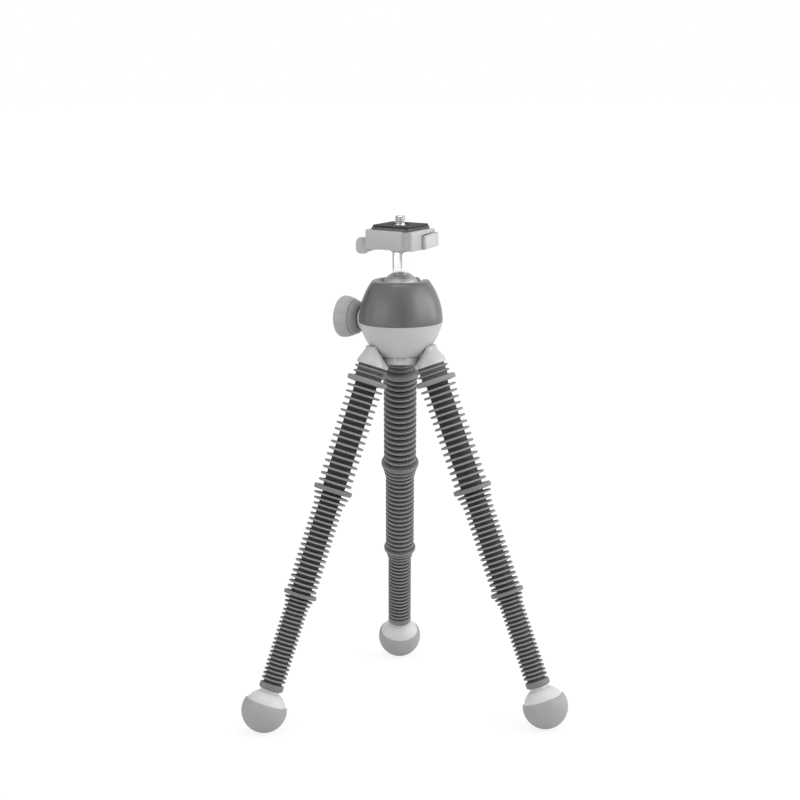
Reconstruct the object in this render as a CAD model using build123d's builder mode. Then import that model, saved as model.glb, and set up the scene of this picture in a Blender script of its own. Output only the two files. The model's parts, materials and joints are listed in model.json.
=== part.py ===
# Table tripod with three ribbed bendable legs, a lockable ball head and a quick-release clamp.
# Millimetres, +Z up. The feet stand on Z = 0 and the origin is the middle of the footprint.
# Each leg carries a stiff bendable core in three ribbed jackets, joined by two couplers.
from build123d import *
from math import cos, radians, sin, sqrt, tan
import os

os.makedirs("parts", exist_ok=True)

# Clearances and small shared values
running_fit = 0.06
slip_fit = 0.1
seat_gap = 0.05
overrun = 1.0

# Legs
leg_spread = 20.9
leg_azimuths = {"rear": 90.0, "left": 210.0, "right": 330.0}
hip_radius = 23.5
core_r = 3.0
core_seat_depth = 4.5
coupler_spigot_r = 4.6
coupler_spigot = 3.0
coupler_web = 0.8
coupler_edge = 0.5

# Neck between the crown and the first collar
neck_core_r = 8.0
neck_rib_r = 9.95
neck_first = 2.1
neck_pitch = 3.1
neck_last = 4.3
neck_ribs = 2
collar_r = 12.05
collar_half = 1.5
collar_round = 0.7

# Upper section
upper_core_r = 6.6
upper_rib_r = 10.1
upper_entry_steps = (0.7, 0.3)
upper_ribs = 16
upper_pitch = 3.89
upper_first = 4.7
upper_last = 4.35
upper_tip_half = 0.5
upper_root_half = 0.85
upper_coupler_r = 11.55
upper_coupler_half = 1.35

# Middle section
middle_core_r = 5.83
middle_rib_r = 8.95
middle_entry_steps = (1.55, 0.75)
middle_ribs = 19
middle_pitch = 3.2
middle_first = 3.7
middle_last = 3.45
middle_tip_half = 0.42
middle_root_half = 0.72
lower_coupler_r = 9.95
lower_coupler_half = 1.05

# Lower section
lower_core_r = 5.45
lower_rib_r = 7.3
lower_entry_steps = (1.3, 0.65)
lower_ribs = 20
lower_pitch = 2.61
lower_first = 3.0
lower_last = 4.2
lower_tip_half = 0.36
lower_root_half = 0.6

# Ferrule and foot
ferrule_r = 7.3
ferrule_half = 1.9
ferrule_chamfer = 0.9
foot_neck_r = 5.6
foot_ball_r = 12.6
foot_cap_r = 13.5
foot_reach = 14.65
foot_rim = 4.5
foot_core_depth = 6.0

# Crown
lip_r = 9.5
lip_band = 2.0
arm_rise = 20.8
arm_top_width = 8.4
arm_top_depth = 3.2
arm_top_r = 20.4
arm_top_round = 1.4
hub_r = 12.5
hub_depth = 2.6
hub_boss_r = 6.5
hub_boss = 3.6
crown_screw_r = 2.5
crown_screw_head_r = 4.4
crown_screw_head = 3.0
crown_screw_reach = 6.0
hub_plug_r = 5.2
hub_plug = 1.2

# Ball-head housing
bowl_over_hip = 12.1
bowl_h = 21.7
housing_r = 25.0
bowl_side_r = 22.6
bowl_side_drop = 7.1
bowl_waist_r = 19.2
bowl_waist_drop = 13.7
bowl_low_r = 14.85
bowl_low_drop = 18.65
bowl_foot_r = 9.0
housing_screw_r = 1.25
housing_screw_head_r = 2.3
housing_screw_head = 1.6
housing_screw_circle = 16.6
housing_screw_drop = 9.0
housing_screw_rise = 3.0
dome_h = 24.7
dome_mid_r = 23.2
dome_mid_rise = 11.9
rim_r = 16.6
rim_round = 0.9
lip_hole_r = 11.45
lip_hole_h = 1.5
lip_chamfer = 1.6
spigot_r = 21.5
spigot_h = 4.0
seat_bore_r = 14.6
notch_azimuth = 30.0
notch_w = 10.8

# Ball, liner and pressure parts
ball_r = 11.6
ball_rise = 18.4
stem_r = 4.75
stem_edge = 0.3
stem_shank_r = 3.0
stem_shank = 8.0
liner_wall = 1.15
liner_half_angle = 35.0
seat_ring_h = 7.5
pad_top_drop = 8.7
wedge_w = 10.0
wedge_in = 11.0
wedge_out = 12.0
wedge_drop = 5.1
wedge_top_rise = 2.9
wedge_slope = 4.0
wedge_travel = 0.8

# Lock knob
knob_azimuth = 150.0
knob_over_seam = 0.3
knob_screw_r = 2.0
knob_screw_in = 9.0
boss_r = 7.0
boss_reach = 26.0
bush_r = 3.6
bush_in = 15.2
washer_t = 0.8
washer_r = 6.8
knob_back_r = 7.5
knob_back_run = 4.1
knob_waist_r = 10.3
knob_step = 0.35
knob_side_run = 3.9
knob_side_r = 12.1
knob_r = 12.55
knob_t = 13.0
knob_edge = 1.1
knob_face_dish = 0.8
knob_face_r = 9.6
knob_bore = 6.0
knob_grooves = 10
knob_groove_r = 0.5
clip_t = 0.6
clip_groove = 0.35
clip_over = 1.9
clip_mouth_share = 0.8

# Clamp
clamp_over_ball = 25.4
clamp_yaw = -35.0
clamp_w = 33.0
clamp_d = 26.0
clamp_h = 11.3
clamp_round = 1.2
clamp_edge = 0.5
clamp_floor = 4.3
cove_r = 3.6
cove_u = 12.3
cove_v = 14.6
boss_under_r = 5.6
boss_under = 2.0
front_wall = 3.5
channel_low_w = 23.0
channel_top_w = 19.2
stem_pin_r = 4.0
stem_pin_into = 1.6
clamp_screw_r = 2.0
clamp_screw_head_r = 5.2
clamp_screw_head = 2.5
clamp_screw_reach = 8.0

# Quick-release plate, its pad and the camera screw
flange_w = 27.0
flange_t = 1.4
flange_front = 12.2
flange_round = 3.0
pad_t = 1.2
pad_inset = 0.8
camera_screw_r = 3.175
camera_screw_stand = 5.2
camera_head_r = 6.2
camera_head_t = 2.5
camera_recess = 3.0
coin_slot_w = 1.6
coin_slot_depth = 1.2
pad_hole_r = 5.4

# Clamp lever
lever_u = 13.6
lever_v = 3.0
lever_hub_r = 3.3
lever_arm_t = 1.0
lever_gap = 0.2
cam_stub_r = 1.2
cam_journal_r = 2.6
cam_neck_r = 1.5
cam_r = 2.0
cam_offset = 0.45
cam_rise = 1.5
cam_t = 1.8
cam_tip = 1.2
tab_in_r = 6.2
tab_out_r = 13.3
tab_t = 3.6
arm_low_r = 9.7
tab_azimuth = 210.0
tab_drop = 3.8
tab_h = 9.6
tab_round = 1.6

# Release button
button_front = 1.5
button_inner = 14.4
button_outer = 19.0
button_foot = 0.1
button_h = 8.1
button_lean = 1.0
button_round = 1.2
button_gap = 0.5
pocket_inner = 12.6
guide_r = 0.8
guide_l = 5.0
guide_rise = 2.15
guide_places = (2.5, 10.0)
spring_wall_r = 1.6
spring_bore_r = 1.7
spring_depth = 6.0

# Worked-out heights and places
upper_run = upper_first + (upper_ribs - 1) * upper_pitch + upper_last
middle_run = middle_first + (middle_ribs - 1) * middle_pitch + middle_last
lower_run = lower_first + (lower_ribs - 1) * lower_pitch + lower_last
neck_run = neck_first + (neck_ribs - 1) * neck_pitch + neck_last
coupler_1 = upper_run
coupler_2 = coupler_1 + middle_run
ferrule_at = coupler_2 + lower_run
foot_at = ferrule_at + foot_reach
foot_circle_r = hip_radius + foot_at * sin(radians(leg_spread))
hip_z = foot_cap_r + foot_at * cos(radians(leg_spread))
axis_y = -foot_circle_r / 4
bowl_z = hip_z + bowl_over_hip
seam_z = bowl_z + bowl_h
ball_z = seam_z + ball_rise
rim_z = seam_z + dome_h
seat_top_z = rim_z - lip_chamfer - lip_hole_h
knob_z = seam_z + knob_over_seam
clamp_z = ball_z + clamp_over_ball
clamp_top_z = clamp_z + clamp_h
channel_z = clamp_z + clamp_floor
flange_z = clamp_top_z + slip_fit
pad_z = flange_z + flange_t
top_z = pad_z + pad_t
stem_top_z = clamp_z - boss_under - slip_fit
pin_top_z = clamp_z + stem_pin_into
liner_in_r = ball_r + seat_gap
liner_out_r = liner_in_r + liner_wall
channel_front = clamp_d / 2 - front_wall


def level(z, turn=0):
    """Horizontal plane on the head axis, with its X turned."""
    return Plane(origin=(0, axis_y, z), x_dir=(cos(radians(turn)), sin(radians(turn)), 0), z_dir=(0, 0, 1))


def upright(turn=0):
    """Upright plane through the head axis: X runs outwards at that azimuth, Y is height."""
    return Plane(
        origin=(0, axis_y, 0),
        x_dir=(cos(radians(turn)), sin(radians(turn)), 0),
        z_dir=(sin(radians(turn)), -cos(radians(turn)), 0),
    )


def facing(turn, distance, height):
    """Upright plane that looks outwards at an azimuth, at a distance from the head axis."""
    return Plane(
        origin=(distance * cos(radians(turn)), axis_y + distance * sin(radians(turn)), height),
        x_dir=(-sin(radians(turn)), cos(radians(turn)), 0),
        z_dir=(cos(radians(turn)), sin(radians(turn)), 0),
    )


head_axis = Axis((0, axis_y, 0), (0, 0, 1))
knob_axis = Axis((0, axis_y, knob_z), (cos(radians(knob_azimuth)), sin(radians(knob_azimuth)), 0))


def keep(part, name):
    """Label a finished piece and write it."""
    part.label = name
    export_step(part, f"parts/{name}.step")


# Bowl: the pale lower half of the housing, with the boss for the lock screw
def bowl_outline(grow=0):
    """Closed profile of the bowl from its foot to the seam, moved out and down by grow."""
    foot = (bowl_foot_r + grow, bowl_z - grow)
    low = (bowl_low_r + grow, seam_z - bowl_low_drop - grow)
    waist = (bowl_waist_r + grow, seam_z - bowl_waist_drop - grow)
    side = (bowl_side_r + grow, seam_z - bowl_side_drop - grow)
    top = (housing_r + grow, seam_z - grow)
    with BuildLine() as line:
        ThreePointArc(foot, low, waist)
        ThreePointArc(waist, side, top)
        Polyline(top, (0, seam_z - grow), (0, bowl_z - grow), foot)
    return line.line


def housing_screw_places():
    """Places of the screws that join the dome to the bowl, behind the crown's arms."""
    return PolarLocations(housing_screw_circle, len(leg_azimuths), leg_azimuths["rear"])


with BuildPart() as bowl:
    with BuildSketch(upright()):
        add(bowl_outline())
        make_face()
    revolve(axis=head_axis)
    # Rebate that takes the dome's spigot
    with BuildSketch(level(seam_z - spigot_h - seat_gap)):
        Circle(spigot_r + seat_gap)
        Circle(seat_bore_r - slip_fit, mode=Mode.SUBTRACT)
    extrude(amount=spigot_h + overrun, mode=Mode.SUBTRACT)
    # Boss for the lock screw
    with BuildSketch(facing(knob_azimuth, spigot_r + seat_gap, knob_z)):
        Circle(boss_r)
    extrude(amount=boss_reach - spigot_r - seat_gap)
    # Channel for the wedge, open at the top
    with BuildSketch(level(knob_z - wedge_drop - slip_fit, knob_azimuth)):
        with Locations(((wedge_out + overrun - wedge_in - wedge_travel - slip_fit) / 2, 0)):
            Rectangle(wedge_out + overrun + wedge_in + wedge_travel + slip_fit, wedge_w + 2 * slip_fit)
    extrude(amount=wedge_drop + overrun, mode=Mode.SUBTRACT)
    # Bore for the bush and room for the retaining clip
    with BuildSketch(facing(knob_azimuth, bush_in, knob_z)):
        Circle(bush_r + seat_gap)
    extrude(amount=boss_reach, mode=Mode.SUBTRACT)
    with BuildSketch(facing(knob_azimuth, 0, knob_z)):
        Circle(knob_screw_r + clip_over + slip_fit)
    extrude(amount=bush_in, mode=Mode.SUBTRACT)
    # Recess for the crown's boss and the tapped hole for its screw
    with BuildSketch(level(bowl_z)):
        Circle(hub_boss_r + seat_gap)
    extrude(amount=hub_boss + seat_gap, mode=Mode.SUBTRACT)
    with BuildSketch(level(bowl_z)):
        Circle(crown_screw_r + seat_gap)
    extrude(amount=hub_boss + crown_screw_reach + seat_gap, mode=Mode.SUBTRACT)
    # Counterbored holes for the housing screws
    with BuildSketch(level(bowl_z)):
        with housing_screw_places():
            Circle(housing_screw_head_r + slip_fit)
    extrude(amount=bowl_h - housing_screw_drop, mode=Mode.SUBTRACT)
    with BuildSketch(level(bowl_z)):
        with housing_screw_places():
            Circle(housing_screw_r + slip_fit)
    extrude(amount=bowl_h, mode=Mode.SUBTRACT)
keep(bowl.part, "housing_bowl")

# Dome: the dark upper half, open at the top and slotted for the portrait position
with BuildPart() as dome:
    with BuildSketch(upright()):
        with BuildLine():
            top_in = (lip_hole_r + lip_chamfer, rim_z)
            Polyline(
                (housing_r, seam_z),
                (spigot_r, seam_z),
                (spigot_r, seam_z - spigot_h),
                (seat_bore_r, seam_z - spigot_h),
                (seat_bore_r, seat_top_z),
                (lip_hole_r, seat_top_z),
                (lip_hole_r, seat_top_z + lip_hole_h),
                top_in,
                (rim_r, rim_z),
            )
            ThreePointArc((rim_r, rim_z), (dome_mid_r, seam_z + dome_mid_rise), (housing_r, seam_z))
        make_face()
    revolve(axis=head_axis)
    rim_edges = dome.edges().filter_by(GeomType.CIRCLE).group_by(Axis.Z)[-1]
    fillet(rim_edges.sort_by(SortBy.RADIUS)[-1], rim_round)
    with BuildSketch(facing(notch_azimuth, 0, ball_z)):
        Circle(notch_w / 2)
        with Locations((0, notch_w)):
            Rectangle(notch_w, 2 * notch_w)
    extrude(amount=housing_r + overrun, mode=Mode.SUBTRACT)
    with BuildSketch(facing(knob_azimuth, spigot_r, knob_z)):
        Circle(boss_r + slip_fit)
    extrude(amount=housing_r, mode=Mode.SUBTRACT)
    with BuildSketch(facing(knob_azimuth, 0, knob_z)):
        Circle(knob_screw_r + clip_over + slip_fit)
    extrude(amount=spigot_r + overrun, mode=Mode.SUBTRACT)
    with BuildSketch(level(seam_z - spigot_h)):
        with housing_screw_places():
            Circle(housing_screw_r + seat_gap)
    extrude(amount=spigot_h + housing_screw_rise + seat_gap, mode=Mode.SUBTRACT)
keep(dome.part, "housing_dome")

# Three screws that join the two halves, put in from below
with BuildPart() as housing_screws:
    with BuildSketch(level(seam_z - housing_screw_drop)):
        with housing_screw_places():
            Circle(housing_screw_head_r)
    extrude(amount=-housing_screw_head)
    with BuildSketch(level(seam_z - housing_screw_drop)):
        with housing_screw_places():
            Circle(housing_screw_r)
    extrude(amount=housing_screw_drop + housing_screw_rise)
keep(housing_screws.part, "housing_screws")

# Seat ring that holds the ball down, cut through at the portrait slot
with BuildPart() as seat_ring:
    with BuildSketch(level(seat_top_z - seat_gap)):
        Circle(seat_bore_r - slip_fit)
    extrude(amount=-seat_ring_h)
    with BuildSketch(level(ball_z)):
        Circle(ball_r + seat_gap)
    extrude(amount=-seat_ring_h, mode=Mode.SUBTRACT)
    with Locations((0, axis_y, ball_z)):
        Sphere(ball_r + seat_gap, mode=Mode.SUBTRACT)
    with BuildSketch(facing(notch_azimuth, 0, ball_z)):
        Circle(notch_w / 2)
        with Locations((0, notch_w)):
            Rectangle(notch_w, 2 * notch_w)
        with Locations((0, -notch_w)):
            Rectangle(notch_w, 2 * notch_w)
    extrude(amount=housing_r, mode=Mode.SUBTRACT)
keep(seat_ring.part, "ball_seat_ring")

# Ball, with a spot face and a hole for the stem
shoulder_z = ball_z + sqrt(ball_r ** 2 - stem_r ** 2) - seat_gap
with BuildPart() as ball:
    with Locations((0, axis_y, ball_z)):
        Sphere(ball_r)
    with BuildSketch(level(shoulder_z)):
        Circle(ball_r)
    extrude(amount=ball_r, mode=Mode.SUBTRACT)
    with BuildSketch(level(shoulder_z)):
        Circle(stem_shank_r + seat_gap)
    extrude(amount=-stem_shank - seat_gap, mode=Mode.SUBTRACT)
keep(ball.part, "head_ball")

# Stem, turned with a shank for the ball and a pin for the clamp, and tapped on top
with BuildPart() as stem:
    with BuildSketch(upright()):
        with BuildLine():
            Polyline(
                (0, shoulder_z - stem_shank),
                (stem_shank_r, shoulder_z - stem_shank),
                (stem_shank_r, shoulder_z + seat_gap),
                (stem_r - stem_edge, shoulder_z + seat_gap),
                (stem_r, shoulder_z + seat_gap + stem_edge),
                (stem_r, stem_top_z),
                (stem_pin_r, stem_top_z),
                (stem_pin_r, pin_top_z),
                (0, pin_top_z),
                close=True,
            )
        make_face()
    revolve(axis=head_axis)
    with BuildSketch(level(pin_top_z)):
        Circle(clamp_screw_r + seat_gap)
    extrude(amount=-clamp_screw_reach - seat_gap, mode=Mode.SUBTRACT)
keep(stem.part, "ball_stem")

# Liner cup under the ball
with BuildPart() as liner:
    with BuildSketch(upright()):
        with BuildLine():
            reach = sin(radians(liner_half_angle))
            fall = cos(radians(liner_half_angle))
            half_reach = sin(radians(liner_half_angle / 2))
            half_fall = cos(radians(liner_half_angle / 2))
            Line((0, ball_z - liner_out_r), (0, ball_z - liner_in_r))
            ThreePointArc(
                (0, ball_z - liner_in_r),
                (liner_in_r * half_reach, ball_z - liner_in_r * half_fall),
                (liner_in_r * reach, ball_z - liner_in_r * fall),
            )
            Line(
                (liner_in_r * reach, ball_z - liner_in_r * fall),
                (liner_out_r * reach, ball_z - liner_out_r * fall),
            )
            ThreePointArc(
                (liner_out_r * reach, ball_z - liner_out_r * fall),
                (liner_out_r * half_reach, ball_z - liner_out_r * half_fall),
                (0, ball_z - liner_out_r),
            )
        make_face()
    revolve(axis=head_axis)
keep(liner.part, "ball_liner")


# The wedge and the pressure pad share one slope, which falls towards the knob
def slope_height(run):
    """Height of the wedge's top at a distance from the head axis towards the knob."""
    return knob_z + wedge_top_rise + (wedge_out - run) * tan(radians(wedge_slope))


with BuildPart() as pressure_pad:
    with BuildSketch(level(seam_z)):
        Circle(seat_bore_r - slip_fit)
    extrude(amount=ball_z - pad_top_drop - seam_z)
    with Locations((0, axis_y, ball_z)):
        Sphere(liner_out_r + seat_gap, mode=Mode.SUBTRACT)
    with BuildSketch(upright(knob_azimuth)):
        with BuildLine():
            Polyline(
                (-housing_r, seam_z - overrun),
                (-housing_r, slope_height(-housing_r) + seat_gap),
                (housing_r, slope_height(housing_r) + seat_gap),
                (housing_r, seam_z - overrun),
                close=True,
            )
        make_face()
    extrude(amount=housing_r, both=True, mode=Mode.SUBTRACT)
keep(pressure_pad.part, "pressure_pad")

with BuildPart() as wedge:
    with BuildSketch(upright(knob_azimuth)):
        with BuildLine():
            Polyline(
                (-wedge_in, knob_z - wedge_drop),
                (-wedge_in, slope_height(-wedge_in)),
                (wedge_out, slope_height(wedge_out)),
                (wedge_out, knob_z - wedge_drop),
                close=True,
            )
        make_face()
    extrude(amount=wedge_w / 2, both=True)
    with BuildSketch(facing(knob_azimuth, -wedge_in, knob_z)):
        Circle(knob_screw_r + running_fit)
    extrude(amount=wedge_in + wedge_out, mode=Mode.SUBTRACT)
keep(wedge.part, "lock_wedge")

# Bush, thrust washer, knob screw with its clip, and knob
with BuildPart() as bush:
    with BuildSketch(facing(knob_azimuth, bush_in, knob_z)):
        Circle(bush_r)
        Circle(knob_screw_r + running_fit, mode=Mode.SUBTRACT)
    extrude(amount=boss_reach - bush_in)
keep(bush.part, "knob_bush")

with BuildPart() as washer:
    with BuildSketch(facing(knob_azimuth, boss_reach + seat_gap, knob_z)):
        Circle(washer_r)
        Circle(knob_screw_r + slip_fit, mode=Mode.SUBTRACT)
    extrude(amount=washer_t)
keep(washer.part, "thrust_washer")

knob_start = boss_reach + washer_t + 2 * seat_gap
clip_start = bush_in - clip_t - seat_gap


def snap_ring(plane, shaft_r):
    """Open retaining ring that sits in the groove of a shaft."""
    reach = shaft_r + clip_over
    with BuildPart() as ring:
        with BuildSketch(plane):
            Circle(reach)
            Circle(shaft_r - clip_groove + seat_gap, mode=Mode.SUBTRACT)
            with Locations((0, -reach)):
                Rectangle(2 * clip_mouth_share * shaft_r, 2 * reach, mode=Mode.SUBTRACT)
        extrude(amount=clip_t)
    return ring.part


with BuildPart() as knob_screw:
    with BuildSketch(facing(knob_azimuth, -knob_screw_in, knob_z)):
        Circle(knob_screw_r)
    extrude(amount=knob_screw_in + knob_start + knob_bore)
    with BuildSketch(facing(knob_azimuth, clip_start - seat_gap, knob_z)):
        Circle(knob_screw_r + overrun)
        Circle(knob_screw_r - clip_groove, mode=Mode.SUBTRACT)
    extrude(amount=clip_t + 2 * seat_gap, mode=Mode.SUBTRACT)
    knob_screw_ends = knob_screw.edges().filter_by(GeomType.CIRCLE).sort_by(knob_axis)
    chamfer(knob_screw_ends[0], clip_groove)
keep(knob_screw.part, "knob_screw")
keep(snap_ring(facing(knob_azimuth, clip_start, knob_z), knob_screw_r), "knob_screw_ring")

with BuildPart() as knob:
    with BuildSketch(upright(knob_azimuth)):
        back = knob_start + knob_back_run
        grip = back + knob_step
        edge = knob_start + knob_t - knob_edge
        face = knob_start + knob_t
        with BuildLine():
            Line((knob_start, knob_z), (knob_start, knob_z + knob_back_r))
            RadiusArc(
                (knob_start, knob_z + knob_back_r),
                (back, knob_z + knob_waist_r),
                knob_back_run + knob_edge,
            )
            Polyline(
                (back, knob_z + knob_waist_r),
                (back, knob_z + knob_waist_r - knob_step),
                (grip, knob_z + knob_waist_r - knob_step),
                (grip, knob_z + knob_waist_r + knob_step),
            )
            ThreePointArc(
                (grip, knob_z + knob_waist_r + knob_step),
                (grip + knob_side_run, knob_z + knob_side_r),
                (edge, knob_z + knob_r),
            )
            Polyline(
                (edge, knob_z + knob_r),
                (face, knob_z + knob_r - knob_edge),
                (face, knob_z + knob_face_r),
                (face - knob_face_dish, knob_z + knob_face_r - knob_face_dish),
                (face - knob_face_dish, knob_z),
                (knob_start, knob_z),
            )
        make_face()
    revolve(axis=knob_axis)
    with BuildSketch(facing(knob_azimuth, grip, knob_z)):
        with PolarLocations(knob_r + knob_groove_r / 2, knob_grooves):
            Circle(knob_groove_r)
    extrude(amount=knob_t, mode=Mode.SUBTRACT)
    with BuildSketch(facing(knob_azimuth, knob_start, knob_z)):
        Circle(knob_screw_r + seat_gap)
    extrude(amount=knob_bore + seat_gap, mode=Mode.SUBTRACT)
keep(knob.part, "lock_knob")


# Clamp body: a tray with a dovetail channel, open at the rear
with BuildPart() as clamp_body:
    with BuildSketch(level(clamp_z, clamp_yaw)):
        RectangleRounded(clamp_w, clamp_d, clamp_round)
    extrude(amount=clamp_h)
    with BuildSketch(level(clamp_z, clamp_yaw)):
        with Locations((cove_u, -cove_v)):
            Circle(cove_r)
    extrude(amount=clamp_h, mode=Mode.SUBTRACT)
    chamfer(clamp_body.faces().sort_by(Axis.Z)[-1].edges(), clamp_edge)
    with BuildSketch(level(clamp_z - boss_under)):
        Circle(boss_under_r)
    extrude(amount=boss_under)
    # Dovetail channel
    with BuildSketch(upright(clamp_yaw).offset(-clamp_d)):
        with BuildLine():
            Polyline(
                (-channel_low_w / 2, channel_z),
                (channel_low_w / 2, channel_z),
                (channel_top_w / 2, clamp_top_z),
                (channel_top_w / 2, clamp_top_z + overrun),
                (-channel_top_w / 2, clamp_top_z + overrun),
                (-channel_top_w / 2, clamp_top_z),
                close=True,
            )
        make_face()
    extrude(amount=clamp_d + channel_front, mode=Mode.SUBTRACT)
    # Stem bore and the counterbore for the clamp screw's head
    with BuildSketch(level(clamp_z - boss_under)):
        Circle(stem_pin_r + running_fit)
    extrude(amount=clamp_h, mode=Mode.SUBTRACT)
    with BuildSketch(level(pin_top_z - seat_gap)):
        Circle(clamp_screw_head_r + slip_fit)
    extrude(amount=clamp_h, mode=Mode.SUBTRACT)
    # Pocket for the release button, open to the side, the bottom and the rear
    with BuildSketch(facing(clamp_yaw, pocket_inner, clamp_z)):
        with BuildLine():
            Polyline(
                (-button_front - button_gap, -overrun),
                (-button_front - button_gap, button_foot + button_h + button_gap),
                (clamp_d / 2 + overrun, button_foot + button_h + button_gap + button_lean),
                (clamp_d / 2 + overrun, -overrun),
                close=True,
            )
        make_face()
    extrude(amount=clamp_w, mode=Mode.SUBTRACT)
    # Bores for the button's guide pins and springs
    with BuildSketch(facing(clamp_yaw, pocket_inner, clamp_z + guide_rise)):
        with Locations(*[(place, 0) for place in guide_places]):
            Circle(spring_bore_r)
    extrude(amount=-spring_depth, mode=Mode.SUBTRACT)
    # Stepped bore for the lever's cam pin, which opens into the channel's wall
    with BuildSketch(level(clamp_z, clamp_yaw)):
        with Locations((-lever_u, -lever_v)):
            Circle(cam_journal_r + running_fit)
    extrude(amount=clamp_floor + cam_rise + cam_t + slip_fit, mode=Mode.SUBTRACT)
    with BuildSketch(level(clamp_z, clamp_yaw)):
        with Locations((-lever_u, -lever_v)):
            Circle(cam_neck_r + running_fit)
    extrude(amount=clamp_floor + cam_rise + cam_t + cam_tip + slip_fit, mode=Mode.SUBTRACT)
keep(clamp_body.part, "clamp_body")

# Screw that holds the clamp on the stem
with BuildPart() as clamp_screw:
    with BuildSketch(level(pin_top_z + seat_gap)):
        Circle(clamp_screw_head_r)
    extrude(amount=clamp_screw_head)
    with BuildSketch(level(pin_top_z + seat_gap)):
        Circle(clamp_screw_r)
    extrude(amount=-clamp_screw_reach)
    with BuildSketch(level(pin_top_z + seat_gap + clamp_screw_head)):
        RegularPolygon(clamp_screw_r, 6)
    extrude(amount=-clamp_screw_head / 2, mode=Mode.SUBTRACT)
    chamfer(clamp_screw.faces().sort_by(Axis.Z)[-1].outer_wire().edges(), clamp_edge)
keep(clamp_screw.part, "clamp_screw")

# Release button with its two guide pins
with BuildPart() as button:
    with BuildSketch(facing(clamp_yaw, button_inner, clamp_z)):
        with BuildLine():
            Polyline(
                (-button_front, button_foot),
                (-button_front, button_foot + button_h),
                (clamp_d / 2, button_foot + button_h + button_lean),
                (clamp_d / 2, button_foot + button_lean),
                close=True,
            )
        make_face()
    extrude(amount=button_outer - button_inner)
    outward = Axis((0, 0, 0), (cos(radians(clamp_yaw)), sin(radians(clamp_yaw)), 0))
    fillet(button.faces().sort_by(outward)[-1].edges(), button_round)
    with BuildSketch(facing(clamp_yaw, button_inner, clamp_z + guide_rise)):
        with Locations(*[(place, 0) for place in guide_places]):
            Circle(guide_r)
    extrude(amount=-guide_l)
keep(button.part, "release_button")

# Return springs of the button, each a sleeve of the coil's outer size
with BuildPart() as springs:
    with BuildSketch(facing(clamp_yaw, pocket_inner - spring_depth + seat_gap, clamp_z + guide_rise)):
        with Locations(*[(place, 0) for place in guide_places]):
            Circle(spring_wall_r)
            Circle(guide_r + slip_fit, mode=Mode.SUBTRACT)
    extrude(amount=button_inner - pocket_inner + spring_depth - 2 * seat_gap)
keep(springs.part, "button_springs")

# Clamp lever: a tapered arm under the floor with an upright thumb tab beside the wall
lever_turn = radians(clamp_yaw + tab_azimuth)
pivot_x = -lever_u * cos(radians(clamp_yaw)) + lever_v * sin(radians(clamp_yaw))
pivot_y = axis_y - lever_u * sin(radians(clamp_yaw)) - lever_v * cos(radians(clamp_yaw))
lever_side = Plane(
    origin=(pivot_x, pivot_y, clamp_z),
    x_dir=(cos(lever_turn), sin(lever_turn), 0),
    z_dir=(sin(lever_turn), -cos(lever_turn), 0),
)
lever_plan = Plane(
    origin=(pivot_x, pivot_y, clamp_z - lever_gap),
    x_dir=(cos(lever_turn), sin(lever_turn), 0),
    z_dir=(0, 0, 1),
)
with BuildPart() as lever:
    with BuildSketch(lever_side):
        with BuildLine():
            Polyline(
                (-lever_hub_r, -lever_gap),
                (tab_out_r, -lever_gap),
                (tab_out_r, -tab_drop),
                (arm_low_r, -tab_drop),
                (cam_r, -lever_gap - lever_arm_t),
                (-lever_hub_r, -lever_gap - lever_arm_t),
                close=True,
            )
        make_face()
    extrude(amount=lever_hub_r, both=True)
    with BuildSketch(lever_plan):
        Circle(lever_hub_r)
        with Locations((tab_in_r / 2, 0)):
            Rectangle(tab_in_r, 2 * lever_hub_r)
        with Locations((tab_out_r / 2, 0)):
            Rectangle(tab_out_r, tab_t)
    extrude(amount=-tab_drop, mode=Mode.INTERSECT)
    with BuildSketch(lever_side):
        with Locations(((tab_in_r + tab_out_r) / 2, tab_h / 2 - tab_drop)):
            RectangleRounded(tab_out_r - tab_in_r, tab_h, tab_round)
    extrude(amount=tab_t / 2, both=True)
    with BuildSketch(lever_plan):
        Circle(cam_stub_r + seat_gap)
    extrude(amount=-tab_drop, mode=Mode.SUBTRACT)
keep(lever.part, "clamp_lever")

# Cam pin of the lever, with a journal in the floor and an eccentric beside the plate
with BuildPart() as cam_pin:
    cam_z = channel_z + cam_rise
    with BuildSketch(level(clamp_z - lever_gap - lever_arm_t, clamp_yaw)):
        with Locations((-lever_u, -lever_v)):
            Circle(cam_stub_r)
    extrude(amount=lever_arm_t)
    with BuildSketch(level(clamp_z - lever_gap, clamp_yaw)):
        with Locations((-lever_u, -lever_v)):
            Circle(cam_journal_r)
    extrude(amount=lever_gap + clamp_floor - slip_fit)
    with BuildSketch(level(channel_z - slip_fit, clamp_yaw)):
        with Locations((-lever_u, -lever_v)):
            Circle(cam_neck_r)
    extrude(amount=slip_fit + cam_rise + cam_t + cam_tip)
    with BuildSketch(level(cam_z, clamp_yaw)):
        with Locations((cam_offset - lever_u, -lever_v)):
            Circle(cam_r)
    extrude(amount=cam_t)
keep(cam_pin.part, "lever_cam_pin")

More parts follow.
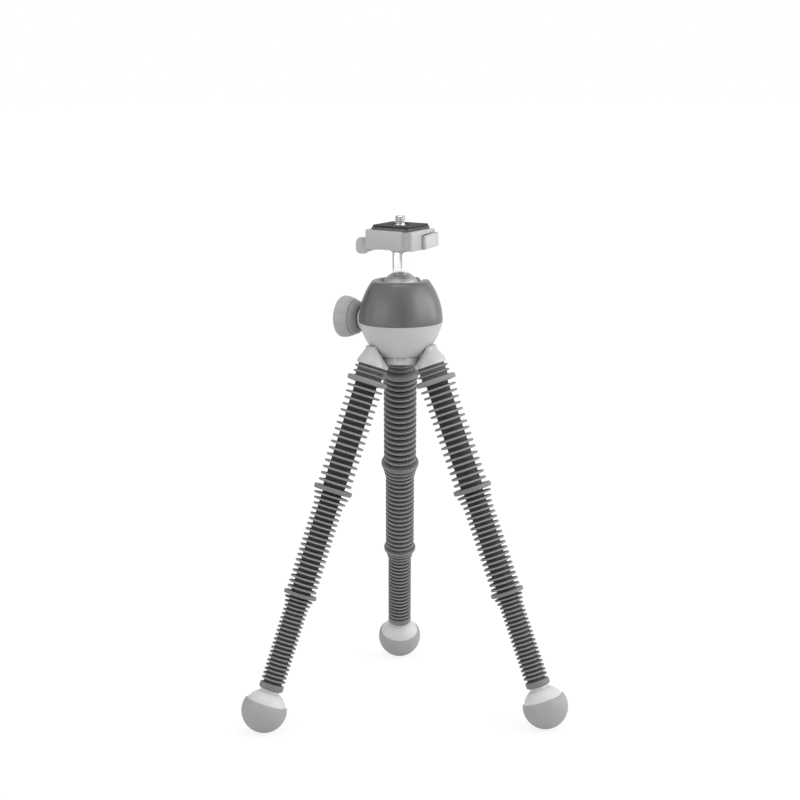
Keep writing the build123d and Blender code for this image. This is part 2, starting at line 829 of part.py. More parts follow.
# Quick-release plate
with BuildPart() as plate:
    with BuildSketch(upright(clamp_yaw).offset(-clamp_d / 2 + seat_gap)):
        with BuildLine():
            Polyline(
                (-channel_low_w / 2 + slip_fit, channel_z + seat_gap),
                (channel_low_w / 2 - slip_fit, channel_z + seat_gap),
                (channel_top_w / 2 - slip_fit, flange_z),
                (-channel_top_w / 2 + slip_fit, flange_z),
                close=True,
            )
        make_face()
    extrude(amount=clamp_d / 2 + channel_front - 2 * seat_gap)
    with BuildSketch(level(flange_z, clamp_yaw)):
        with Locations((0, (clamp_d / 2 - seat_gap - flange_front) / 2)):
            RectangleRounded(flange_w, clamp_d / 2 - seat_gap + flange_front, flange_round)
    extrude(amount=flange_t)
    with BuildSketch(level(channel_z + seat_gap)):
        Circle(camera_head_r + slip_fit)
    extrude(amount=camera_recess, mode=Mode.SUBTRACT)
    with BuildSketch(level(channel_z + seat_gap)):
        Circle(camera_screw_r + running_fit)
    extrude(amount=clamp_h, mode=Mode.SUBTRACT)
keep(plate.part, "quick_release_plate")

with BuildPart() as pad:
    with BuildSketch(level(pad_z, clamp_yaw)):
        with Locations((0, (clamp_d / 2 - seat_gap - flange_front) / 2)):
            RectangleRounded(
                flange_w - 2 * pad_inset,
                clamp_d / 2 - seat_gap + flange_front - 2 * pad_inset,
                flange_round - pad_inset,
            )
        Circle(pad_hole_r, mode=Mode.SUBTRACT)
    extrude(amount=pad_t)
keep(pad.part, "plate_pad")

# Camera screw, captive in the plate, with a coin slot in its head
camera_head_z = channel_z + camera_recess - camera_head_t
with BuildPart() as camera_screw:
    with BuildSketch(level(camera_head_z)):
        Circle(camera_head_r)
    extrude(amount=camera_head_t)
    with BuildSketch(level(camera_head_z)):
        Circle(camera_screw_r)
    extrude(amount=top_z + camera_screw_stand - camera_head_z)
    chamfer(camera_screw.faces().sort_by(Axis.Z)[-1].edges(), clamp_edge)
    with BuildSketch(level(pad_z)):
        Circle(camera_screw_r + overrun)
        Circle(camera_screw_r - clip_groove, mode=Mode.SUBTRACT)
    extrude(amount=clip_t + 2 * seat_gap, mode=Mode.SUBTRACT)
    with BuildSketch(level(camera_head_z)):
        Rectangle(2 * camera_head_r, coin_slot_w)
    extrude(amount=coin_slot_depth, mode=Mode.SUBTRACT)
keep(camera_screw.part, "camera_screw")
keep(snap_ring(level(pad_z + seat_gap), camera_screw_r), "camera_screw_ring")


# Legs
def leg_frame(azimuth):
    """Plane at the first collar's middle: Z runs down the leg, X stays level across it."""
    turn, spread = radians(azimuth), radians(leg_spread)
    return Plane(
        origin=(hip_radius * cos(turn), axis_y + hip_radius * sin(turn), hip_z),
        x_dir=(-sin(turn), cos(turn), 0),
        z_dir=(cos(turn) * sin(spread), sin(turn) * sin(spread), -cos(spread)),
    )


def arm_top(azimuth):
    """Level plane at the top of a crown arm, facing down, with its X across the leg."""
    turn = radians(azimuth)
    return Plane(
        origin=(arm_top_r * cos(turn), axis_y + arm_top_r * sin(turn), hip_z + arm_rise),
        x_dir=(-sin(turn), cos(turn), 0),
        z_dir=(0, 0, -1),
    )


def rib_stations(first, pitch, count, size, steps, root, tip_half, root_half):
    """Four circles for each rib as (place, radius). The first ribs are larger by the steps."""
    stations = []
    for index in range(count):
        middle = first + index * pitch
        radius = size + (steps[index] if index < len(steps) else 0)
        stations += [
            (middle - root_half, root),
            (middle - tip_half, radius),
            (middle + tip_half, radius),
            (middle + root_half, root),
        ]
    return stations


def ribbed_jacket(frame, stations, counterbores):
    """A ribbed tube lofted through circles down the leg, with its bore and spigot counterbores."""
    start, end = stations[0][0], stations[-1][0]
    with BuildPart() as jacket:
        for place, radius in stations:
            with BuildSketch(frame.offset(place)):
                Circle(radius)
        loft(ruled=True)
        with BuildSketch(frame.offset(start)):
            Circle(core_r + slip_fit)
        extrude(amount=end - start, mode=Mode.SUBTRACT)
        for place, direction in counterbores:
            with BuildSketch(frame.offset(place)):
                Circle(coupler_spigot_r + slip_fit)
            extrude(amount=direction * (coupler_spigot + seat_gap), mode=Mode.SUBTRACT)
    return jacket.part


def coupler(frame, place, size, half):
    """Ring between two jackets, with a spigot and a blind core hole on each side."""
    with BuildPart() as ring:
        with BuildSketch(frame.offset(place - half)):
            Circle(size)
        extrude(amount=2 * half)
        chamfer(ring.edges().filter_by(GeomType.CIRCLE), coupler_edge)
        with BuildSketch(frame.offset(place - half - coupler_spigot)):
            Circle(coupler_spigot_r)
        extrude(amount=2 * (half + coupler_spigot))
        for side in (-1, 1):
            with BuildSketch(frame.offset(place + side * coupler_web / 2)):
                Circle(core_r + slip_fit)
            extrude(amount=side * (half + coupler_spigot), mode=Mode.SUBTRACT)
    return ring.part


def core_wire(frame, start, end):
    """One bendable core rod."""
    with BuildPart() as wire:
        with BuildSketch(frame.offset(start)):
            Circle(core_r)
        extrude(amount=end - start)
    return wire.part


collar_foot = collar_half + collar_round / 2
upper_stations = (
    [(-neck_run, neck_core_r)]
    + rib_stations(
        neck_first - neck_run, neck_pitch, neck_ribs, neck_rib_r, (),
        neck_core_r, upper_tip_half, upper_root_half,
    )
    + [
        (-collar_foot, neck_core_r),
        (-collar_half, collar_r - collar_round),
        (-collar_half + collar_round, collar_r),
        (collar_half - collar_round, collar_r),
        (collar_half, collar_r - collar_round),
        (collar_foot, upper_core_r),
    ]
    + rib_stations(
        upper_first, upper_pitch, upper_ribs, upper_rib_r, upper_entry_steps,
        upper_core_r, upper_tip_half, upper_root_half,
    )
    + [(coupler_1 - upper_coupler_half - seat_gap, upper_core_r)]
)
middle_stations = (
    [(coupler_1 + upper_coupler_half + seat_gap, middle_core_r)]
    + rib_stations(
        coupler_1 + middle_first, middle_pitch, middle_ribs, middle_rib_r, middle_entry_steps,
        middle_core_r, middle_tip_half, middle_root_half,
    )
    + [(coupler_2 - lower_coupler_half - seat_gap, middle_core_r)]
)
lower_stations = (
    [(coupler_2 + lower_coupler_half + seat_gap, lower_core_r)]
    + rib_stations(
        coupler_2 + lower_first, lower_pitch, lower_ribs, lower_rib_r, lower_entry_steps,
        lower_core_r, lower_tip_half, lower_root_half,
    )
    + [(ferrule_at - ferrule_half - seat_gap, lower_core_r)]
)

for leg_name, leg_azimuth in leg_azimuths.items():
    frame = leg_frame(leg_azimuth)
    keep(ribbed_jacket(frame, upper_stations, [(upper_stations[-1][0], -1)]), f"{leg_name}_upper_jacket")
    keep(
        ribbed_jacket(frame, middle_stations, [(middle_stations[0][0], 1), (middle_stations[-1][0], -1)]),
        f"{leg_name}_middle_jacket",
    )
    keep(ribbed_jacket(frame, lower_stations, [(lower_stations[0][0], 1)]), f"{leg_name}_lower_jacket")
    keep(coupler(frame, coupler_1, upper_coupler_r, upper_coupler_half), f"{leg_name}_upper_coupler")
    keep(coupler(frame, coupler_2, lower_coupler_r, lower_coupler_half), f"{leg_name}_lower_coupler")

    # Core rods, which meet inside the couplers
    joint_gap = coupler_web / 2 + seat_gap
    keep(core_wire(frame, -neck_run - core_seat_depth, coupler_1 - joint_gap), f"{leg_name}_upper_core")
    keep(core_wire(frame, coupler_1 + joint_gap, coupler_2 - joint_gap), f"{leg_name}_middle_core")
    core_end = ferrule_at + ferrule_half + foot_core_depth
    keep(core_wire(frame, coupler_2 + joint_gap, core_end), f"{leg_name}_lower_core")

    with BuildPart() as ferrule:
        with BuildSketch(frame.offset(ferrule_at - ferrule_half)):
            Circle(ferrule_r)
        extrude(amount=2 * ferrule_half)
        chamfer(ferrule.edges().filter_by(GeomType.CIRCLE), ferrule_chamfer)
        with BuildSketch(frame.offset(ferrule_at - ferrule_half)):
            Circle(core_r + slip_fit)
        extrude(amount=2 * ferrule_half, mode=Mode.SUBTRACT)
    keep(ferrule.part, f"{leg_name}_ferrule")

    foot_centre = frame.origin + frame.z_dir * foot_at
    neck_top = ferrule_at + ferrule_half + seat_gap
    with BuildPart() as foot_ball:
        with Locations(foot_centre):
            Sphere(foot_ball_r)
        with BuildSketch(frame.offset(neck_top)):
            Circle(foot_neck_r)
        extrude(amount=foot_at - neck_top)
        with BuildSketch(frame.offset(neck_top)):
            Circle(core_r + slip_fit)
        extrude(amount=foot_core_depth + seat_gap, mode=Mode.SUBTRACT)
    keep(foot_ball.part, f"{leg_name}_foot_ball")

    with BuildPart() as foot_cap:
        with Locations(foot_centre):
            Sphere(foot_cap_r)
            Sphere(foot_ball_r + seat_gap, mode=Mode.SUBTRACT)
        with BuildSketch(frame.offset(foot_at - foot_rim)):
            Circle(foot_cap_r + overrun)
        extrude(amount=-foot_cap_r, mode=Mode.SUBTRACT)
    keep(foot_cap.part, f"{leg_name}_foot_cap")

# Crown: a hub with three flared arms that hug the bowl and end in round leg sockets
with BuildPart() as crown:
    with BuildSketch(level(bowl_z - hub_depth)):
        Circle(hub_r)
    extrude(amount=hub_depth + hub_boss)
    for leg_azimuth in leg_azimuths.values():
        frame = leg_frame(leg_azimuth)
        with BuildSketch(frame.offset(-neck_run - seat_gap)):
            Circle(lip_r)
        extrude(amount=-lip_band)
        with BuildSketch(frame.offset(-neck_run - seat_gap - lip_band)):
            Circle(lip_r)
        with BuildSketch(arm_top(leg_azimuth)):
            RectangleRounded(arm_top_width, arm_top_depth, arm_top_round)
        loft()
    with BuildSketch(upright()):
        add(bowl_outline(seat_gap))
        make_face()
    revolve(axis=head_axis, mode=Mode.SUBTRACT)
    with BuildSketch(level(bowl_z - hub_depth)):
        Circle(hub_boss_r)
    extrude(amount=hub_depth + hub_boss)
    for leg_azimuth in leg_azimuths.values():
        frame = leg_frame(leg_azimuth)
        with BuildSketch(frame.offset(-neck_run)):
            Circle(core_r + slip_fit)
        extrude(amount=-core_seat_depth - seat_gap, mode=Mode.SUBTRACT)
    with BuildSketch(level(bowl_z - hub_depth)):
        Circle(hub_plug_r + seat_gap)
    extrude(amount=hub_plug + seat_gap, mode=Mode.SUBTRACT)
    with BuildSketch(level(bowl_z - hub_depth)):
        Circle(crown_screw_head_r + slip_fit)
    extrude(amount=hub_plug + crown_screw_head + 2 * seat_gap, mode=Mode.SUBTRACT)
    with BuildSketch(level(bowl_z - hub_depth)):
        Circle(crown_screw_r + slip_fit)
    extrude(amount=hub_depth + hub_boss, mode=Mode.SUBTRACT)
keep(crown.part, "crown")

# Crown screw and the plug under it
screw_seat = bowl_z - hub_depth + hub_plug + crown_screw_head + seat_gap
with BuildPart() as crown_screw:
    with BuildSketch(level(screw_seat)):
        Circle(crown_screw_head_r)
    extrude(amount=-crown_screw_head)
    with BuildSketch(level(screw_seat)):
        Circle(crown_screw_r)
    extrude(amount=bowl_z + hub_boss + crown_screw_reach - screw_seat)
    with BuildSketch(level(screw_seat - crown_screw_head)):
        RegularPolygon(crown_screw_r, 6)
    extrude(amount=crown_screw_head / 2, mode=Mode.SUBTRACT)
keep(crown_screw.part, "crown_screw")

with BuildPart() as hub_cover:
    with BuildSketch(level(bowl_z - hub_depth)):
        Circle(hub_plug_r)
    extrude(amount=hub_plug - seat_gap)
    chamfer(hub_cover.faces().sort_by(Axis.Z)[0].edges(), clip_groove)
keep(hub_cover.part, "hub_plug")
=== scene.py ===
import json
from math import acos, atan2, cos, degrees, hypot, radians, sin, tau

import bpy
from mathutils import Matrix, Vector


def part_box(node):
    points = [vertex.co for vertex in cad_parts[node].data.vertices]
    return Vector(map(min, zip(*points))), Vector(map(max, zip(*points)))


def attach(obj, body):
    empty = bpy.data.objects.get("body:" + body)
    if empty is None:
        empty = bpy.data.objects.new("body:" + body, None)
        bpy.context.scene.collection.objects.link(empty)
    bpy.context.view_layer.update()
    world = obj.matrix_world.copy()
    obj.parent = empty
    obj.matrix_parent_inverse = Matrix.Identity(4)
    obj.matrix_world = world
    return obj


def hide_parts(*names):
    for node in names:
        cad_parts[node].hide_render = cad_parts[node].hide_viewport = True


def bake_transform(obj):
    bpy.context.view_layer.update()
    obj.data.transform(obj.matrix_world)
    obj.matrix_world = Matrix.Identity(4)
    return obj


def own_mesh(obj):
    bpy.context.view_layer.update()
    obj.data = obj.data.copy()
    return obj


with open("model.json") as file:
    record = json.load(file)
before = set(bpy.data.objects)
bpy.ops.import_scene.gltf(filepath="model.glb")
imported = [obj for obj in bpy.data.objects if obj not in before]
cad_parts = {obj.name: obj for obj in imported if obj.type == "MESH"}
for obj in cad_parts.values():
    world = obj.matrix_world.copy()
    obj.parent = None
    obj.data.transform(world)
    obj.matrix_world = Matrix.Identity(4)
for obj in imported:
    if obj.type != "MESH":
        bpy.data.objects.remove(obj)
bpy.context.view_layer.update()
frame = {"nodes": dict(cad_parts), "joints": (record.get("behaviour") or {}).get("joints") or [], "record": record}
node = frame["nodes"]
joint_at = {j["name"]: Vector(j["pos_m"]) for j in frame["joints"] if "pos_m" in j}

MM = 0.001
LEGS = ("rear", "left", "right")
LEG_BODIES = {leg: ("root", f"{leg}_leg_upper", f"{leg}_leg_middle", f"{leg}_leg_lower") for leg in LEGS}

# Places along a leg in millimetres from its first collar, as in the solids
UPPER_RUN = 67.4
COUPLER_1 = 67.4
COUPLER_2 = 132.15
FERRULE = 188.94
FOOT = 203.59
NECK = 9.5

# Places of the head in millimetres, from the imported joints, and the ways its pieces face
AXIS_Y = joint_at["ball_tilt"].y / MM
BALL_Z = joint_at["ball_tilt"].z / MM
CLAMP_Z = joint_at["head_pan"].z / MM
SEAM_Z = BALL_Z - 18.4
RIM_Z = SEAM_Z + 24.7
BOWL_Z = SEAM_Z - 21.7
KNOB_Z = SEAM_Z + 0.3
CLAMP_YAW = radians(-35)
KNOB_TURN = radians(150)
SLOT_TURN = radians(30)
LEVER_TURN = CLAMP_YAW + radians(210)
UP = Vector((0, 0, 1))


# ---------------------------------------------------------------- finishes
# A wave texture of scale 1 has light and dark bands about 0.16 units wide in turn
BAND_WIDTH = 0.16


class Value:
    """A shader socket that can be written in sums and products."""

    def __init__(self, finish, socket):
        self.finish = finish
        self.socket = socket

    def _worked(self, operation, *terms, **settings):
        settings["operation"] = operation
        return self.finish.node("ShaderNodeMath", settings, dict(enumerate(terms)))

    def __add__(self, other):
        return self._worked("ADD", self, other)

    def __sub__(self, other):
        return self._worked("SUBTRACT", self, other)

    def __rsub__(self, other):
        return self._worked("SUBTRACT", other, self)

    def __mul__(self, other):
        return self._worked("MULTIPLY", self, other)

    def __abs__(self):
        return self._worked("ABSOLUTE", self)

    def clipped(self):
        """The same value, kept between 0 and 1."""
        return self._worked("ADD", self, 0.0, use_clamp=True)

    __radd__ = __add__
    __rmul__ = __mul__


class Finish:
    """A material with a Principled shader and a few plain words for its nodes."""

    def __init__(self, name, **fixed):
        self.material = bpy.data.materials.new(name)
        self.material.use_nodes = True
        self.tree = self.material.node_tree
        self.shader = self.tree.nodes["Principled BSDF"]
        for socket, value in fixed.items():
            self.shader.inputs[socket.replace("_", " ")].default_value = value

    def node(self, kind, settings=None, inputs=None, output=0):
        """Any node, by its type, its settings and its sockets' values or links."""
        made = self.tree.nodes.new(kind)
        for key, value in (settings or {}).items():
            setattr(made, key, value)
        for key, value in (inputs or {}).items():
            self.join(value, made.inputs[key])
        return Value(self, made.outputs[output])

    def join(self, value, socket):
        """Link a value to a socket, or set the socket to a plain number or colour."""
        if isinstance(value, Value):
            self.tree.links.new(value.socket, socket)
        else:
            socket.default_value = value

    def place(self):
        """The place on the piece, in metres."""
        return self.node("ShaderNodeTexCoord", output="Object")

    def ray(self, kind):
        """1 for rays of that kind and 0 for the others."""
        return self.node("ShaderNodeLightPath", output=f"Is {kind} Ray")

    def noise(self, size_mm, detail=3.0):
        """Soft random pattern whose patches are about that many millimetres wide."""
        scale = 1 / (size_mm * MM)
        inputs = {"Vector": self.place(), "Scale": scale, "Detail": detail, "Roughness": 0.55}
        return self.node("ShaderNodeTexNoise", None, inputs)

    def bands(self, along, place, width_mm, **inputs):
        """Light and dark bands in turn along an axis, each about that many millimetres wide."""
        inputs.update(Vector=place, Scale=BAND_WIDTH / (width_mm * MM))
        return self.node("ShaderNodeTexWave", {"wave_type": "BANDS", "bands_direction": along}, inputs)

    def between(self, share, dark, light):
        """A colour between two, by a share from 0 to 1, on a mix node's colour sockets."""
        return self.node("ShaderNodeMix", {"data_type": "RGBA"}, {0: share, 6: dark, 7: light}, 2)

    def bump(self, height, depth_mm):
        """Raise the surface by a height from 0 to 1, to a depth in millimetres."""
        inputs = {"Height": height, "Distance": depth_mm * MM, "Strength": 1.0}
        self.feed("Normal", self.node("ShaderNodeBump", None, inputs))

    def feed(self, socket, value):
        """Give a value to one of the shader's sockets."""
        self.join(value, self.shader.inputs[socket])


def grey(level):
    """A grey as a shader colour."""
    return (level, level, level, 1)


def moulded_plastic(name, dark, light, roughness, grain_mm=0.5, grain_depth_mm=0.012, shine=0.5):
    """Satin moulded plastic: faint clouding, a fine spark-eroded grain and small changes of gloss."""
    finish = Finish(name, Specular_IOR_Level=shine)
    finish.feed("Base Color", finish.between(finish.noise(9.0, 4.0), grey(dark), grey(light)))
    finish.feed("Roughness", finish.noise(4.0, 3.0) * 0.12 + (roughness - 0.06))
    finish.bump(finish.noise(grain_mm, 2.0), grain_depth_mm)
    return finish.material


def leg_rubber():
    """Matt rubber with painted shade in the grooves and painted light on the ribs' edges, which are a little
    glossier.
    """
    finish = Finish("leg_rubber", Specular_IOR_Level=0.35)
    edge = finish.node("ShaderNodeAttribute", {"attribute_name": "edge"}, None, "Fac")
    # Painted light on the ribs' edges and painted shade in the grooves, broken up by noise
    painted_rib_light = (edge * (finish.noise(3.0, 4.0) * 0.5 + 0.75)).clipped()
    finish.feed("Base Color", finish.between(painted_rib_light, grey(0.05), grey(0.23)))
    finish.feed("Roughness", 0.72 - painted_rib_light * 0.14)
    finish.bump(finish.noise(0.6, 3.0), 0.03)
    return finish.material


def turned_metal(name, level, roughness, lines_mm=0.25):
    """Turned metal with fine tool lines round its axis."""
    finish = Finish(name, Metallic=1.0)
    lines = finish.bands("Z", finish.place(), lines_mm, Distortion=1.5, Detail=2.0)
    finish.feed("Base Color", finish.between(finish.noise(3.0), grey(level * 0.94), grey(level)))
    finish.feed("Roughness", finish.noise(0.8) * 0.06 + (roughness - 0.03))
    finish.bump(lines, 0.004)
    return finish.material


def blasted_metal(name, level, roughness):
    """Bead blasted and anodised metal."""
    finish = Finish(name, Metallic=1.0)
    finish.feed("Base Color", finish.between(finish.noise(2.0, 4.0), grey(level * 0.9), grey(level)))
    finish.feed("Roughness", finish.noise(1.2) * 0.1 + (roughness - 0.05))
    finish.bump(finish.noise(0.18, 2.0), 0.01)
    return finish.material


def brass_metal():
    """Machined brass, a little dull in patches."""
    finish = Finish("machined_brass", Metallic=1.0)
    pale, dull = (0.78, 0.6, 0.28, 1), (0.62, 0.46, 0.2, 1)
    finish.feed("Base Color", finish.between(finish.noise(2.5, 4.0), dull, pale))
    finish.feed("Roughness", finish.noise(0.8) * 0.15 + 0.25)
    finish.bump(finish.noise(0.3), 0.006)
    return finish.material


def pad_rubber():
    """The plate's pad: dark rubber with fine ribs across it."""
    finish = Finish("pad_rubber", Specular_IOR_Level=0.3)
    in_line = finish.node(
        "ShaderNodeMapping", {"vector_type": "POINT"},
        {"Vector": finish.place(), "Rotation": (0, 0, -CLAMP_YAW)},
    )
    ribs = finish.bands("X", in_line, 1.1, Distortion=0.0)
    finish.feed("Base Color", finish.between(finish.noise(2.0), grey(0.03), grey(0.05)))
    finish.feed("Roughness", finish.noise(1.5) * 0.1 + 0.7)
    finish.bump(ribs + finish.noise(0.4) * 0.2, 0.12)
    return finish.material


FINISH = {
    "light_plastic": moulded_plastic("light_plastic", 0.44, 0.47, 0.42),
    "crown_plastic": moulded_plastic("crown_plastic", 0.46, 0.49, 0.26),
    "dark_plastic": moulded_plastic("dark_plastic", 0.078, 0.09, 0.32, shine=0.75),
    "collar_plastic": moulded_plastic("collar_plastic", 0.15, 0.18, 0.5),
    "pale_plastic": moulded_plastic("pale_plastic", 0.55, 0.59, 0.4),
    "foot_rubber": moulded_plastic("foot_rubber", 0.30, 0.34, 0.6, 0.7, 0.03),
    "knob_plastic": moulded_plastic("knob_plastic", 0.37, 0.41, 0.5),
    # The clamp's and the button's greys are made darker than their plain plastics: painted shade for a camera's
    # shadow over the clamp
    "clamp_plastic_painted_shade": moulded_plastic("clamp_plastic_painted_shade", 0.40, 0.43, 0.42),
    "button_plastic_painted_shade": moulded_plastic("button_plastic_painted_shade", 0.47, 0.50, 0.42),
    # The knob's cone is a darker grey than the knob: painted shade where the cone faces the housing
    "knob_cone_painted_shade": moulded_plastic("knob_cone_painted_shade", 0.25, 0.28, 0.45),
    "screw_steel": turned_metal("screw_steel", 0.55, 0.3),
    "black_acetal": moulded_plastic("black_acetal", 0.028, 0.034, 0.3),
    "leg_rubber": leg_rubber(),
    "pad_rubber": pad_rubber(),
    "ball_coat": blasted_metal("ball_coat", 0.43, 0.47),
    "plate_metal": blasted_metal("plate_metal", 0.12, 0.5),
    "steel": turned_metal("turned_steel", 0.93, 0.16),
    "core_wire": turned_metal("core_wire", 0.6, 0.4, 2.0),
    "brass": brass_metal(),
}


# ---------------------------------------------------------------- shaping
def pick_nothing():
    """Leave edit mode with nothing selected."""
    if bpy.context.mode != "OBJECT":
        bpy.ops.object.mode_set(mode="OBJECT")
    bpy.ops.object.select_all(action="DESELECT")


def pick(piece):
    """Select one piece alone and make it the active one."""
    pick_nothing()
    piece.select_set(True)
    bpy.context.view_layer.objects.active = piece


def select_where(piece, test):
    """Select the points of the piece in edit mode whose place passes the test."""
    bpy.ops.object.mode_set(mode="OBJECT")
    for vertex in piece.data.vertices:
        vertex.select = test(vertex.co)
    for edge in piece.data.edges:
        edge.select = all(piece.data.vertices[i].select for i in edge.vertices)
    for face in piece.data.polygons:
        face.select = all(piece.data.vertices[i].select for i in face.vertices)
    bpy.ops.object.mode_set(mode="EDIT")


def extrude_rings(outline):
    """Extrude the selected ring along Z and scale it, from each (height, radius) to the next."""
    for (low, inner), (high, outer) in zip(outline, outline[1:]):
        bpy.ops.mesh.extrude_region_move(TRANSFORM_OT_translate={"value": (0, 0, (high - low) * MM)})
        if outer == 0:
            bpy.ops.mesh.merge(type="CENTER")
        elif outer != inner:
            share = outer / inner
            bpy.ops.transform.resize(value=(share, share, 1), center_override=(0, 0, high * MM))


def tidy(piece, angle=35, merge=1e-6):
    """Merge doubles, turn the faces outwards and smooth all but the sharp edges."""
    if bpy.context.mode != "EDIT_MESH":
        bpy.ops.object.mode_set(mode="EDIT")
    bpy.ops.mesh.select_all(action="SELECT")
    bpy.ops.mesh.remove_doubles(threshold=merge)
    bpy.ops.mesh.normals_make_consistent(inside=False)
    bpy.ops.object.mode_set(mode="OBJECT")
    bpy.ops.object.shade_smooth_by_angle(angle=radians(angle))


def turned(name, outline, sides=64, closed=False, cap=True):
    """A turned piece on the Z axis through (height, radius) points in millimetres."""
    pick_nothing()
    pole = outline[0][1] == 0
    rings = outline[1:] if pole else outline
    height, radius = rings[0]
    bpy.ops.mesh.primitive_circle_add(vertices=sides, radius=radius * MM, location=(0, 0, height * MM))
    piece = bpy.context.object
    piece.name = piece.data.name = name
    bpy.ops.object.transform_apply(location=True, rotation=False, scale=False)
    bpy.ops.object.mode_set(mode="EDIT")
    bpy.ops.mesh.select_all(action="SELECT")
    extrude_rings(rings + ([rings[0]] if closed else []))
    if not closed:
        if rings[-1][1] > 0 and cap:
            bpy.ops.mesh.edge_face_add()

        def on_first_ring(co):
            return abs(co.z - height * MM) < 1e-7 and abs(co.xy.length - radius * MM) < 1e-6

        select_where(piece, on_first_ring)
        if pole:
            extrude_rings([(height, radius), outline[0]])
        elif cap:
            bpy.ops.mesh.edge_face_add()
    tidy(piece)
    return piece


def arc_through(first, middle, last, count):
    """Points of the arc through three (height, radius) points, both ends included."""
    (ax, ay), (bx, by), (cx, cy) = first, middle, last
    d = 2 * (ax * (by - cy) + bx * (cy - ay) + cx * (ay - by))
    ux = ((ax**2 + ay**2) * (by - cy) + (bx**2 + by**2) * (cy - ay) + (cx**2 + cy**2) * (ay - by)) / d
    uy = ((ax**2 + ay**2) * (cx - bx) + (bx**2 + by**2) * (ax - cx) + (cx**2 + cy**2) * (bx - ax)) / d
    radius = hypot(ax - ux, ay - uy)
    start, end = atan2(ay - uy, ax - ux), atan2(cy - uy, cx - ux)
    via = atan2(by - uy, bx - ux)
    turn = (end - start) % tau
    if (via - start) % tau > turn:
        turn -= tau
    return [
        (ux + radius * cos(start + turn * i / (count - 1)), uy + radius * sin(start + turn * i / (count - 1)))
        for i in range(count)
    ]


def sphere_rings(middle, radius, angles):
    """Rings of a sphere on the axis, by their angles in degrees from its low pole."""
    return [(middle - radius * cos(radians(a)), radius * sin(radians(a))) for a in angles]


def rounded(outline, corners, reach, count=5):
    """Round the numbered corners of an outline with arcs of that radius."""
    made = []
    for i, here in enumerate(outline):
        if i not in corners:
            made.append(here)
            continue
        before, after = Vector(outline[i - 1]), Vector(outline[(i + 1) % len(outline)])
        corner = Vector(here)
        into, out = (before - corner).normalized(), (after - corner).normalized()
        half = acos(max(-1, min(1, into.dot(out)))) / 2
        back = reach / max(1e-6, abs(sin(half) / cos(half)))
        centre = corner + (into + out).normalized() * reach / sin(half)
        start, end = corner + into * back, corner + out * back
        a, b = start - centre, end - centre
        whole = acos(max(-1, min(1, a.normalized().dot(b.normalized()))))
        for step in range(count):
            share = step / (count - 1)
            spot = (a * sin((1 - share) * whole) + b * sin(share * whole)) / sin(whole)
            made.append(tuple(centre + spot))
    return made


def moved(piece, matrix):
    """Put a piece's place into its mesh."""
    piece.data.transform(matrix)
    piece.data.update()
    return piece


def twin(piece, name, matrix):
    """A copy of a piece, with its own mesh, at another place."""
    other = piece.copy()
    other.data = piece.data.copy()
    other.name = other.data.name = name
    bpy.context.collection.objects.link(other)
    return moved(other, matrix)


def coat(piece, finish):
    """Give a piece its finish."""
    piece.data.materials.clear()
    piece.data.materials.append(FINISH[finish])
    return piece


def carve(piece, cutter):
    """Cut one piece out of another, and drop it."""
    pick(piece)
    change = piece.modifiers.new("cut", "BOOLEAN")
    change.operation = "DIFFERENCE"
    change.solver = "EXACT"
    change.object = cutter
    bpy.ops.object.modifier_apply(modifier=change.name)
    bpy.data.objects.remove(cutter)
    return piece


def eased(piece, width_mm, angle=40):
    """Ease the sharp edges of a piece and smooth the rest."""
    pick(piece)
    change = piece.modifiers.new("eased", "BEVEL")
    change.width = width_mm * MM
    change.segments = 2
    change.limit_method = "ANGLE"
    change.angle_limit = radians(angle)
    change.use_clamp_overlap = True
    bpy.ops.object.modifier_apply(modifier=change.name)
    bpy.ops.object.shade_smooth_by_angle(angle=radians(angle))
    return piece


def from_solid(name, source, width_mm=0.0):
    """A copy of a solid, merged and with its edges eased."""
    piece = node[source].copy()
    piece.data = node[source].data.copy()
    piece.name = piece.data.name = name
    piece.parent = None
    for key in list(piece.keys()):
        del piece[key]
    bpy.context.collection.objects.link(piece)
    piece.hide_render = piece.hide_viewport = False
    pick(piece)
    tidy(piece, 40, 2e-6)
    if width_mm:
        eased(piece, width_mm)
    return piece


def frame_at(origin_mm, x_axis, z_axis):
    """Matrix of a place with its X and Z directions."""
    z_axis = Vector(z_axis).normalized()
    x_axis = Vector(x_axis).normalized()
    y_axis = z_axis.cross(x_axis)
    turn = Matrix((x_axis, y_axis, z_axis)).transposed().to_4x4()
    return Matrix.Translation(Vector(origin_mm) * MM) @ turn


def tool_bar(radius, start, end, matrix, sides=48):
    """A plain round bar that is used to cut."""
    return moved(turned("tool_bar", [(start, radius), (end, radius)], sides), matrix)


def tool_block(size_mm, matrix):
    """A plain block that is used to cut."""
    pick_nothing()
    bpy.ops.mesh.primitive_cube_add(size=1)
    block = bpy.context.object
    moved(block, Matrix.Diagonal((*(side * MM for side in size_mm), 1)))
    return moved(block, matrix)


HEAD = frame_at((0, AXIS_Y, 0), (1, 0, 0), UP)
KNOB = frame_at((0, AXIS_Y, KNOB_Z), UP, (cos(KNOB_TURN), sin(KNOB_TURN), 0))
SLOT = frame_at((0, AXIS_Y, BALL_Z), UP, (cos(SLOT_TURN), sin(SLOT_TURN), 0))


# ---------------------------------------------------------------- legs
LEG_SIDES = 56
ROD_R, ROD_STEP = 3.0, 1.9


def rib_outline(root, tip, root_half, tip_half, pitch):
    """One pitch of the ribbed jacket: a disc with a rounded edge and small root fillets."""
    edge = 0.75 * tip_half
    foot = [(-pitch / 2, root), (-root_half - 0.2, root)]
    fillet = [(-root_half, root + 0.12), (-root_half + 0.1, root + 0.4)]
    side = [(-tip_half - 0.02, tip - edge - 0.25)]
    rim = [(-tip_half + z * edge, tip - r * edge) for z, r in ((0.02, 1), (0.13, 0.5), (0.5, 0.13), (1, 0))]
    rise = foot + fillet + side + rim
    return rise + [(-z, r) for z, r in reversed(rise)]


